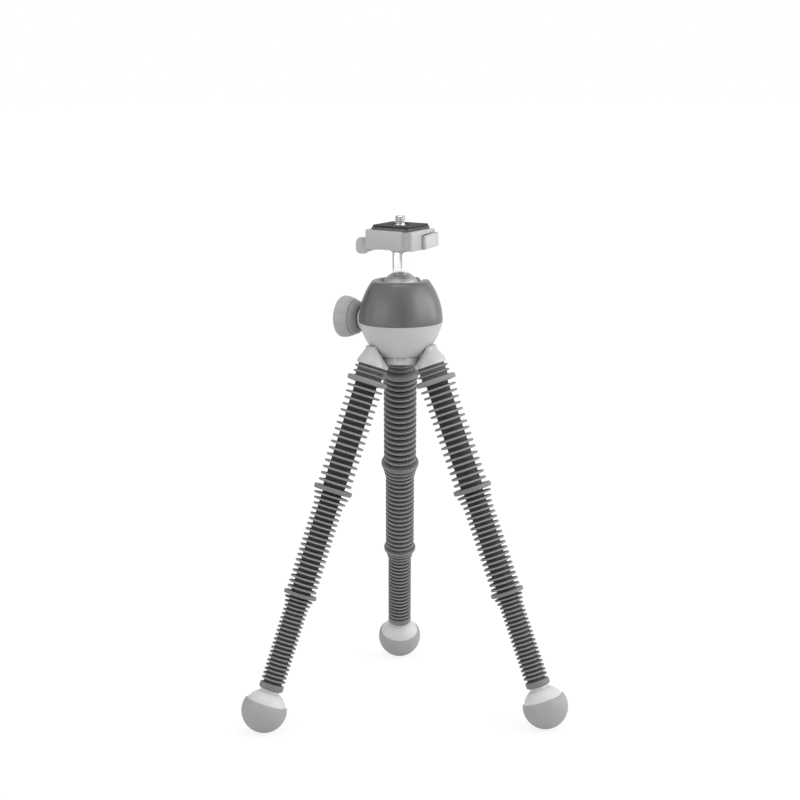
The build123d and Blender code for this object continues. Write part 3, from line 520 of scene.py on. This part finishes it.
def ribbed(name, root, tip, root_half, tip_half, pitch, count, first, steps, before, end):
    """A ribbed jacket along Z: one rib arrayed, its first ribs widened, and its ends drawn out."""
    pick_nothing()
    outline = rib_outline(root, tip, root_half, tip_half, pitch)
    piece = turned(name, [(z + first, r) for z, r in outline], LEG_SIDES, cap=False)
    pick(piece)
    change = piece.modifiers.new("row", "ARRAY")
    change.count = count
    change.use_relative_offset = False
    change.use_constant_offset = True
    change.constant_offset_displace = (0, 0, pitch * MM)
    change.use_merge_vertices = True
    change.merge_threshold = 1e-5
    bpy.ops.object.modifier_apply(modifier=change.name)
    bpy.ops.object.mode_set(mode="EDIT")
    for index, more in enumerate(steps):
        middle = (first + index * pitch) * MM
        wide = (tip - 1.2) * MM
        select_where(piece, lambda co: abs(co.z - middle) < 1.1 * root_half * MM and co.xy.length > wide)
        share = (tip + more) / tip
        bpy.ops.transform.resize(value=(share, share, 1), center_override=(0, 0, middle))
    top = first - pitch / 2
    bottom = first + (count - 0.5) * pitch
    select_where(piece, lambda co: abs(co.z - top * MM) < 1e-6)
    extrude_rings([(top, root)] + before)
    bpy.ops.mesh.edge_face_add()
    select_where(piece, lambda co: abs(co.z - bottom * MM) < 1e-6)
    extrude_rings([(bottom, root), (end, root)])
    bpy.ops.mesh.edge_face_add()
    tidy(piece, 40)
    # Each point's share from a rib's root to its tip, which the rubber uses for painted shade in the grooves and
    # painted light on the ribs' edges
    reach = piece.data.attributes.new("edge", "FLOAT", "POINT")
    shares = [
        max(0.0, min(1.0, (hypot(v.co.x, v.co.y) / MM - root - 0.5) / (tip - root - 0.7)))
        for v in piece.data.vertices
    ]
    reach.data.foreach_set("value", shares)
    return piece


def rod(name, start, end):
    """A core rod, with rings close together along it."""
    count = int((end - start) / ROD_STEP)
    rings = [(start + (end - start) * i / count, ROD_R) for i in range(1, count)]
    return turned(name, [(start, ROD_R - 0.3), (start + 0.3, ROD_R)] + rings + [(end, ROD_R)], 20)


def ring(name, place, size, half, corner, inner=3.4):
    """A coupler or collar ring with rounded corners."""
    outline = [(place - half, inner), (place - half, size), (place + half, size), (place + half, inner)]
    return turned(name, rounded(outline, (1, 2), corner), LEG_SIDES)


# Neck and first collar of the upper jacket, from the first rib back to the crown
neck = [
    (1.95, 6.6), (1.85, 7.2), (1.5, 11.2), (1.42, 11.62), (1.15, 11.94), (0.75, 12.05), (-0.75, 12.05),
    (-1.15, 11.94), (-1.42, 11.62), (-1.5, 11.2), (-1.85, 8.3), (-2.0, 8.0), (-3.3, 8.0), (-3.45, 8.15),
    (-3.75, 9.2), (-3.95, 9.75), (-4.15, 9.95), (-4.45, 9.95), (-4.65, 9.75), (-4.85, 9.2), (-5.1, 8.15),
    (-5.3, 8.0), (-6.4, 8.0), (-6.55, 8.15), (-6.85, 9.2), (-7.05, 9.75), (-7.25, 9.95), (-7.55, 9.95),
    (-7.75, 9.75), (-7.95, 9.2), (-8.2, 8.15), (-8.4, 8.0), (-9.5, 8.0),
]
jackets = {
    "upper": ribbed(
        "upper_jacket_form", root=6.6, tip=10.1, root_half=0.85, tip_half=0.66, pitch=3.89, count=16,
        first=4.7, steps=(0.7, 0.3), before=neck, end=66.0,
    ),
    "middle": ribbed(
        "middle_jacket_form", root=5.83, tip=8.95, root_half=0.74, tip_half=0.58, pitch=3.2, count=19,
        first=COUPLER_1 + 3.7, steps=(1.55, 0.75), before=[(COUPLER_1 + 1.4, 5.83)], end=COUPLER_2 - 1.1,
    ),
    "lower": ribbed(
        "lower_jacket_form", root=5.45, tip=7.3, root_half=0.62, tip_half=0.48, pitch=2.61, count=20,
        first=COUPLER_2 + 3.0, steps=(1.3, 0.65), before=[(COUPLER_2 + 1.1, 5.45)], end=FERRULE - 1.95,
    ),
}
rods = {
    "upper": rod("upper_core_form", -NECK - 4.5, COUPLER_1 - 0.45),
    "middle": rod("middle_core_form", COUPLER_1 + 0.45, COUPLER_2 - 0.45),
    "lower": rod("lower_core_form", COUPLER_2 + 0.45, FERRULE + 7.9),
}
rings = {
    "upper_coupler": ring("upper_coupler_form", COUPLER_1, 11.55, 1.35, 0.6),
    "lower_coupler": ring("lower_coupler_form", COUPLER_2, 9.95, 1.05, 0.5),
    "ferrule": ring("ferrule_form", FERRULE, 7.3, 1.9, 0.95, 3.1),
}
FOOT_R, CAP_R, CAP_RISE = 12.6, 13.5, 4.5
foot_ball = turned(
    "foot_ball_form",
    [(FERRULE + 1.95, 3.1), (FERRULE + 1.95, 5.6), (FERRULE + 2.7, 5.62)]
    + sphere_rings(FOOT, FOOT_R, range(28, 180, 4))
    + [(FOOT + FOOT_R, 0)],
)
cap_rim = FOOT - CAP_RISE
rim_turn = degrees(acos(CAP_RISE / CAP_R))
foot_cap = turned(
    "foot_cap_form",
    [(cap_rim + 0.1, 11.75), (cap_rim, 12.0), (cap_rim, 12.35), (cap_rim + 0.12, 12.62)]
    + sphere_rings(FOOT, CAP_R, [rim_turn + 2 + k * (178 - rim_turn) / 30 for k in range(30)])
    + [(FOOT + CAP_R, 0)],
)

for leg in LEGS:
    high = joint_at[f"{leg}_leg_upper_bend"]
    low = joint_at[f"{leg}_leg_lower_bend"]
    along = (low - high).normalized()
    hip = high - along * UPPER_RUN / 2 * MM
    across = UP.cross(along).normalized()
    on_leg = frame_at(hip / MM, across, along)

    def spot(place):
        return tuple(hip + along * place * MM)

    spans = {
        "upper": (3.0, COUPLER_1 - 1.5), "middle": (COUPLER_1 + 1.5, COUPLER_2 - 1.2),
        "lower": (COUPLER_2 + 1.2, FERRULE - 2.0),
    }
    bodies = LEG_BODIES[leg]
    for index, (section, (start, end)) in enumerate(spans.items()):
        for kind, form, finish in (("jacket", jackets, "leg_rubber"), ("core", rods, "core_wire")):
            piece = twin(form[section], f"{leg}_{section}_{kind}_soft", on_leg)
            coat(piece, finish)
            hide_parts(f"{leg}_{section}_{kind}")
            spot(start)
            spot(end)
            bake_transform(piece)
    for kind, index in (("upper_coupler", 1), ("lower_coupler", 2), ("ferrule", 3)):
        piece = coat(twin(rings[kind], f"{leg}_{kind}_ring", on_leg), "collar_plastic")
        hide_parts(f"{leg}_{kind}")
        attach(piece, bodies[index])
    piece = coat(twin(foot_ball, f"{leg}_foot_ball_turned", on_leg), "pale_plastic")
    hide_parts(f"{leg}_foot_ball")
    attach(piece, bodies[3])
    piece = coat(twin(foot_cap, f"{leg}_foot_cap_turned", on_leg), "foot_rubber")
    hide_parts(f"{leg}_foot_cap")
    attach(piece, bodies[3])

for form in (*jackets.values(), *rods.values(), *rings.values(), foot_ball, foot_cap):
    bpy.data.objects.remove(form)


# ---------------------------------------------------------------- housing
HOUSING_SIDES = 96
# Radii of the knob's bore and boss, of the room for them in the dome, and of the stem's slot
BORE_R, BOSS_R, ROOM_FOR_BOSS_R, ROOM_FOR_SHAFT_R, SLOT_R = 3.68, 7.0, 7.1, 4.0, 5.4
bowl_side = (
    arc_through((BOWL_Z, 9.0), (SEAM_Z - 18.65, 14.85), (SEAM_Z - 13.7, 19.2), 14)
    + arc_through((SEAM_Z - 13.7, 19.2), (SEAM_Z - 7.1, 22.6), (SEAM_Z - 0.25, 24.95), 14)[1:]
)
bowl_outline = [(BOWL_Z, 0)] + bowl_side + [(SEAM_Z - 0.02, 24.75), (SEAM_Z - 0.02, 0)]
bowl = moved(turned("housing_bowl_turned", bowl_outline, HOUSING_SIDES), HEAD)
boss_outline = [(21.6, 3.7), (21.6, BOSS_R), (25.6, BOSS_R), (25.9, 6.85), (26.0, 6.6), (26.0, 3.7)]
boss = moved(turned("boss_form", boss_outline, 48, closed=True), KNOB)
carve(bowl, tool_bar(BORE_R, 15.0, 30.0, KNOB))
pick(bowl)
boss.select_set(True)
bpy.ops.object.join()
pick(bowl)
tidy(bowl)
coat(bowl, "light_plastic")
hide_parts("housing_bowl")
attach(bowl, "root")

dome_outline = (
    [(SEAM_Z + 0.02, 21.5), (SEAM_Z + 0.02, 24.75)]
    + arc_through((SEAM_Z + 0.25, 24.97), (SEAM_Z + 11.9, 23.2), (RIM_Z - 0.85, 17.35), 24)
    + [(RIM_Z - 0.45, 16.93), (RIM_Z - 0.15, 16.45), (RIM_Z, 15.75), (RIM_Z, 13.25), (RIM_Z - 0.12, 12.93),
       (RIM_Z - 1.5, 11.55), (RIM_Z - 1.75, 11.45), (RIM_Z - 3.1, 11.45), (RIM_Z - 3.1, 14.6),
       (SEAM_Z - 4, 14.6), (SEAM_Z - 4, 21.5)]
)
dome = moved(turned("housing_dome_turned", dome_outline, HOUSING_SIDES, closed=True), HEAD)
# The slot is a round bar whose upper half is drawn up past the rim
slot_tool = turned("slot_tool", [(0, SLOT_R), (30, SLOT_R)], 48)
pick(slot_tool)
bpy.ops.object.mode_set(mode="EDIT")
select_where(slot_tool, lambda co: co.x > 1e-5)
bpy.ops.transform.translate(value=(12 * MM, 0, 0))
bpy.ops.object.mode_set(mode="OBJECT")
carve(dome, moved(slot_tool, SLOT))
carve(dome, tool_bar(ROOM_FOR_BOSS_R, 21.4, 32, KNOB))
carve(dome, tool_bar(ROOM_FOR_SHAFT_R, 10, 32, KNOB))
eased(dome, 0.25, 42)
coat(dome, "dark_plastic")
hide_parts("housing_dome")
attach(dome, "root")

# ---------------------------------------------------------------- ball, stem and knob
BALL_R = 11.6
ball = turned(
    "head_ball_turned",
    [(BALL_Z - BALL_R, 0)]
    + sphere_rings(BALL_Z, BALL_R, range(4, 155, 4))
    + [(BALL_Z + 10.53, 4.87), (BALL_Z + 10.53, 3.05), (BALL_Z + 2.4, 3.05), (BALL_Z + 2.4, 0)],
    72,
)
coat(moved(ball, HEAD), "ball_coat")
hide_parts("head_ball")
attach(ball, "ball")
stem_foot, stem_top = BALL_Z + 10.6, CLAMP_Z - 2.1
stem = turned(
    "ball_stem_turned",
    [(stem_foot - 8, 0), (stem_foot - 8, 3.0), (stem_foot, 3.0), (stem_foot, 4.45), (stem_foot + 0.1, 4.65),
     (stem_foot + 0.35, 4.75), (stem_top - 0.35, 4.75), (stem_top - 0.1, 4.65), (stem_top, 4.45),
     (stem_top, 4.0), (CLAMP_Z + 1.6, 4.0), (CLAMP_Z + 1.6, 2.05), (CLAMP_Z - 6.4, 2.05), (CLAMP_Z - 6.4, 0)],
    64,
)
coat(moved(stem, HEAD), "steel")
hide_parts("ball_stem")
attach(stem, "ball")

GROOVES, SIDES_PER_GROOVE = 10, 16
CONE_END = 31.1
knob_outline = (
    [(26.9, 0), (26.9, 7.2), (27.0, 7.5)]
    + arc_through((27.2, 7.9), (28.8, 9.55), (30.9, 10.3), 6)
    + [(31.0, 10.28), (31.02, 9.95), (31.33, 9.95), (31.35, 10.6)]
    + arc_through((31.5, 10.7), (35.25, 12.1), (38.6, 12.52), 8)
    + [(39.1, 12.45), (39.5, 12.2), (39.78, 11.85), (39.9, 11.4), (39.9, 9.8), (39.8, 9.5), (39.35, 9.15),
       (39.15, 8.7), (39.1, 8.2), (39.1, 0)]
)
knob = turned("lock_knob_turned", knob_outline, SIDES_PER_GROOVE * GROOVES)
pick(knob)
bpy.ops.object.mode_set(mode="EDIT")
step = tau / GROOVES


def in_groove(co, half):
    """Whether a point of the knob's grip lies within that angle of a groove's middle."""
    off = (atan2(co.y, co.x) + step / 2) % step - step / 2
    return 31.6 * MM < co.z < 39.6 * MM and co.xy.length > 10.4 * MM and abs(off) < half


# The grooves are pressed in by two steps, a wide one and a narrow one inside it
for sides, share in ((1.6, 0.985), (0.6, 0.975)):
    select_where(knob, lambda co: in_groove(co, sides * step / SIDES_PER_GROOVE))
    bpy.ops.transform.resize(value=(share, share, 1), center_override=(0, 0, 35 * MM))
bpy.ops.object.mode_set(mode="OBJECT")
coat(knob, "knob_plastic")
# The cone behind the grip gets the darker grey: painted shade where it faces the housing
knob.data.materials.append(FINISH["knob_cone_painted_shade"])
for face in knob.data.polygons:
    face.material_index = int(face.center.z < CONE_END * MM)
moved(knob, KNOB)
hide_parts("lock_knob")
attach(knob, "lock_knob")

# ---------------------------------------------------------------- crown, clamp and plate
slots = {entry["node"]: entry["material_slot"] for entry in frame["record"]["subparts"]}
# The clamp's and the button's finishes carry painted shade, for a camera's shadow over the clamp
for name, source, body, finish, slot, width in (
    ("crown_moulded", "crown", "root", "crown_plastic", "light_plastic", 0.35),
    ("clamp_body_cast", "clamp_body", "clamp", "clamp_plastic_painted_shade", "light_plastic", 0.3),
    ("release_button_moulded", "release_button", "release_button", "button_plastic_painted_shade", "light_plastic", 0.0),
    ("quick_release_plate_cast", "quick_release_plate", "plate", "plate_metal", None, 0.2),
    ("plate_pad_moulded", "plate_pad", "plate", "pad_rubber", None, 0.2),
    ("thrust_washer_cut", "thrust_washer", "root", "black_acetal", None, 0.1),
):
    piece = from_solid(name, source, width)
    coat(piece, finish)
    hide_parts(source)
    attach(piece, body)

# Lever, with the outer corners of its thumb tab well rounded
lever = from_solid("clamp_lever_cast", "clamp_lever")
pivot = joint_at["clamp_lever_swing"] / MM
out = Vector((cos(LEVER_TURN), sin(LEVER_TURN), 0))
TAB_END, TAB_LOW, TAB_HIGH, TAB_ROUND = 13.3, CLAMP_Z - 3.8, CLAMP_Z + 5.8, 3.1
BLOCK = TAB_ROUND + 1
for height, way_up in ((TAB_LOW, -1), (TAB_HIGH, 1)):
    centre = Vector((pivot.x, pivot.y, height - way_up * TAB_ROUND)) + out * (TAB_END - TAB_ROUND)
    bar = tool_bar(TAB_ROUND, -3, 3, frame_at(centre, out, out.cross(UP)), 64)
    middle = centre + (out + UP * way_up) * BLOCK / 2
    corner = carve(tool_block((BLOCK, 5, BLOCK), frame_at(middle, out, UP)), bar)
    carve(lever, corner)
eased(lever, 0.35)
coat(lever, "light_plastic")
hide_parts("clamp_lever")
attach(lever, "clamp_lever")

# Camera screw with its thread, 20 rings to the inch
THREAD_PITCH, THREAD_ROOT, THREAD_CREST, THREAD_TIP = 1.27, 3.175 - 0.62, 3.13, 0.8
THREAD_RING = ((0, THREAD_ROOT), (0.12, THREAD_ROOT), (0.55, THREAD_CREST), (0.72, THREAD_CREST))
SHANK, GROOVE_R, GROOVE_GAP = 3.1, 2.6, 0.05
low, high = (corner[2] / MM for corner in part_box("camera_screw"))
clip_low, clip_high = (corner[2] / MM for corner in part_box("camera_screw_ring"))
stud = [
    (low, 0), (low, 5.9), (low + 0.3, 6.2), (low + 2.3, 6.2), (low + 2.5, 6.0), (low + 2.5, SHANK),
    (clip_low - GROOVE_GAP, SHANK), (clip_low - GROOVE_GAP, GROOVE_R),
    (clip_high + GROOVE_GAP, GROOVE_R), (clip_high + GROOVE_GAP, SHANK),
]
turns = int((high - clip_high - 1.4) / THREAD_PITCH)
start = high - THREAD_TIP - turns * THREAD_PITCH
for k in range(turns):
    at = start + k * THREAD_PITCH
    stud += [(at + rise, radius) for rise, radius in THREAD_RING]
stud += [(high - THREAD_TIP, THREAD_ROOT), (high - 0.5, 3.0), (high, 2.5), (high, 0)]
screw = moved(turned("camera_screw_turned", stud, 48), HEAD)
carve(screw, tool_block((14, 1.2, 2.4), frame_at((0, AXIS_Y, low), (1, 0, 0), UP)))
pick(screw)
bpy.ops.object.shade_smooth_by_angle(angle=radians(35))
coat(screw, "screw_steel")
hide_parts("camera_screw")
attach(screw, "camera_screw")

# Return springs: each a coil of nine turns round its guide pin
COIL_START, COIL_LENGTH, COIL_R, WIRE_R, COIL_TURNS = 6.65, 7.7, 1.24, 0.18, 9
COIL_RISE, FIRST_COIL, SECOND_COIL = 2.15, 2.5, 10
pick_nothing()
bpy.ops.mesh.primitive_circle_add(vertices=8, radius=WIRE_R * MM)
coil = bpy.context.object
moved(coil, frame_at((COIL_R, 0, WIRE_R), (1, 0, 0), (0, 1, 0)))
change = coil.modifiers.new("coil", "SCREW")
change.axis = "Z"
change.screw_offset = (COIL_LENGTH - 2 * WIRE_R) / COIL_TURNS * MM
change.iterations = COIL_TURNS
change.steps = 18
change.use_merge_vertices = False
bpy.ops.object.modifier_apply(modifier=change.name)
bpy.ops.object.mode_set(mode="EDIT")
bpy.ops.mesh.select_all(action="SELECT")
bpy.ops.mesh.fill_holes(sides=8)
tidy(coil, 40)
outward = Vector((cos(CLAMP_YAW), sin(CLAMP_YAW), 0))
backward = Vector((-sin(CLAMP_YAW), cos(CLAMP_YAW), 0))
inner_end = Vector((0, AXIS_Y, CLAMP_Z + COIL_RISE)) + outward * COIL_START
springs = twin(coil, "button_springs_coiled", frame_at(inner_end + backward * FIRST_COIL, UP, outward))
other = twin(coil, "second_coil", frame_at(inner_end + backward * SECOND_COIL, UP, outward))
bpy.data.objects.remove(coil)
pick(springs)
other.select_set(True)
bpy.ops.object.join()
coat(springs, "screw_steel")
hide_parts("button_springs")
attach(springs, "clamp")
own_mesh(springs)

# ---------------------------------------------------------------- the solids that stay
for name, piece in node.items():
    finish = "screw_steel" if slots[name] == "steel" else slots[name]
    piece.data.materials.clear()
    piece.data.materials.append(FINISH[finish])

# ---------------------------------------------------------------- studio
bpy.ops.object.select_all(action="DESELECT")


def studio_floor():
    """White to the camera and in reflections, with a fifth of the real light and shadow near the piece."""
    finish = Finish("studio_floor_white", Base_Color=grey(0.85), Roughness=0.9)
    seen = (finish.ray("Camera") + finish.ray("Glossy") + finish.ray("Transmission")).clipped()
    away = finish.node("ShaderNodeVectorMath", {"operation": "LENGTH"}, {0: finish.place()}, "Value")
    share = seen * (0.8 + (away * 0.4 - 0.2).clipped() * 0.2)
    glow = finish.node("ShaderNodeEmission", None, {"Color": grey(1.0), "Strength": 1.06})
    shaded = Value(finish, finish.shader.outputs[0])
    mixed = finish.node("ShaderNodeMixShader", None, {0: share, 1: shaded, 2: glow})
    finish.join(mixed, finish.tree.nodes["Material Output"].inputs["Surface"])
    return finish.material


class Surroundings(Finish):
    """White all round for the camera, and white panels with gaps between them for reflections."""

    def __init__(self, world, level):
        world.use_nodes = True
        self.tree = world.node_tree
        way = self.node("ShaderNodeTexCoord", output="Generated")
        x = self.node("ShaderNodeSeparateXYZ", None, {0: way}, "X")
        y = self.node("ShaderNodeSeparateXYZ", None, {0: way}, "Y")
        front_gap = (1 - (abs(x) * 4.2 - 0.25).clipped()) * (y * -4).clipped()
        back_gap = (1 - (abs(x + 0.64) * 5.0).clipped()) * (y * 3).clipped()
        panels = 1 - front_gap * 0.45 - back_gap * 0.6
        inside = level + self.ray("Glossy") * (panels - level)
        seen = (self.ray("Camera") + self.ray("Transmission")).clipped()
        background = self.tree.nodes["Background"].inputs
        self.join(inside + seen * (1 - inside), background["Strength"])
        background["Color"].default_value = grey(1.0)


bpy.ops.mesh.primitive_plane_add(size=12, location=(0, 0, -0.0002))
floor = bpy.context.object
floor.name = "studio_floor"
floor.data.materials.append(studio_floor())
world = bpy.data.worlds.new("studio")
bpy.context.scene.world = world
Surroundings(world, 0.66)


def soft_box(name, place, aim, width, height, power):
    """A rectangular soft light, in metres and watts."""
    bpy.ops.object.light_add(type="AREA", location=place)
    lamp = bpy.context.object
    lamp.name = name
    lamp.data.shape = "RECTANGLE"
    lamp.data.size = width
    lamp.data.size_y = height
    lamp.data.energy = power
    lamp.rotation_euler = (Vector(aim) - Vector(place)).to_track_quat("-Z", "Y").to_euler()


SET_MIDDLE = (0, 0, 0.24)
soft_box("right_box", (1.4, -0.57, 0.85), SET_MIDDLE, 1.5, 1.2, 13.0)
soft_box("side_strip", (1.35, 0.3, 0.5), SET_MIDDLE, 0.5, 0.7, 3.0)
soft_box("left_box", (-1.35, -0.8, 0.6), SET_MIDDLE, 1.4, 1.0, 4.6)
soft_box("top_box", (0.0, -0.2, 1.6), (0, 0, 0.2), 1.0, 1.0, 6.5)

# Dark cards that stand on the floor beside the set, which only reflections show
CARD_HEIGHT = 0.62
card_finish = Finish("card_grey", Base_Color=grey(0.12), Roughness=0.9).material
for name, way, distance, width in (("front_card", 10, 0.8, 0.14), ("rear_card", -132, 1.0, 0.6)):
    pick_nothing()
    bpy.ops.mesh.primitive_plane_add(size=1)
    card = bpy.context.object
    card.name = name
    inward = Vector((-sin(radians(way)), cos(radians(way)), 0))
    middle = UP * CARD_HEIGHT / 2 - inward * distance
    moved(card, Matrix.Diagonal((width, CARD_HEIGHT, 1, 1)))
    moved(card, frame_at(middle / MM, inward.cross(UP), inward))
    card.data.materials.append(card_finish)
    card.visible_camera = card.visible_diffuse = card.visible_shadow = False

# ---------------------------------------------------------------- camera
PICTURE_WIDTH, FOCAL_PIXELS, SENSOR_MM = 800, 2194.073, 36
CAMERA_PLACE = (-0.028022, -1.310383, 0.443993)
heading, pitch, roll = radians(1.214), radians(11.173), radians(-0.357)
ahead = Vector((sin(heading) * cos(pitch), cos(heading) * cos(pitch), -sin(pitch)))
level_right = Vector((cos(heading), -sin(heading), 0))
level_up = level_right.cross(ahead)
right = level_right * cos(roll) + level_up * sin(roll)
up = level_up * cos(roll) - level_right * sin(roll)
camera_data = bpy.data.cameras.new("camera")
camera = bpy.data.objects.new("camera", camera_data)
bpy.context.scene.collection.objects.link(camera)
turn = Matrix((right, up, -ahead)).transposed().to_4x4()
camera.matrix_world = Matrix.Translation(CAMERA_PLACE) @ turn
camera_data.sensor_width = SENSOR_MM
camera_data.lens = FOCAL_PIXELS / PICTURE_WIDTH * SENSOR_MM
camera_data.clip_end = 20
bpy.context.scene.camera = camera
bpy.context.scene.view_settings.view_transform = "Standard"
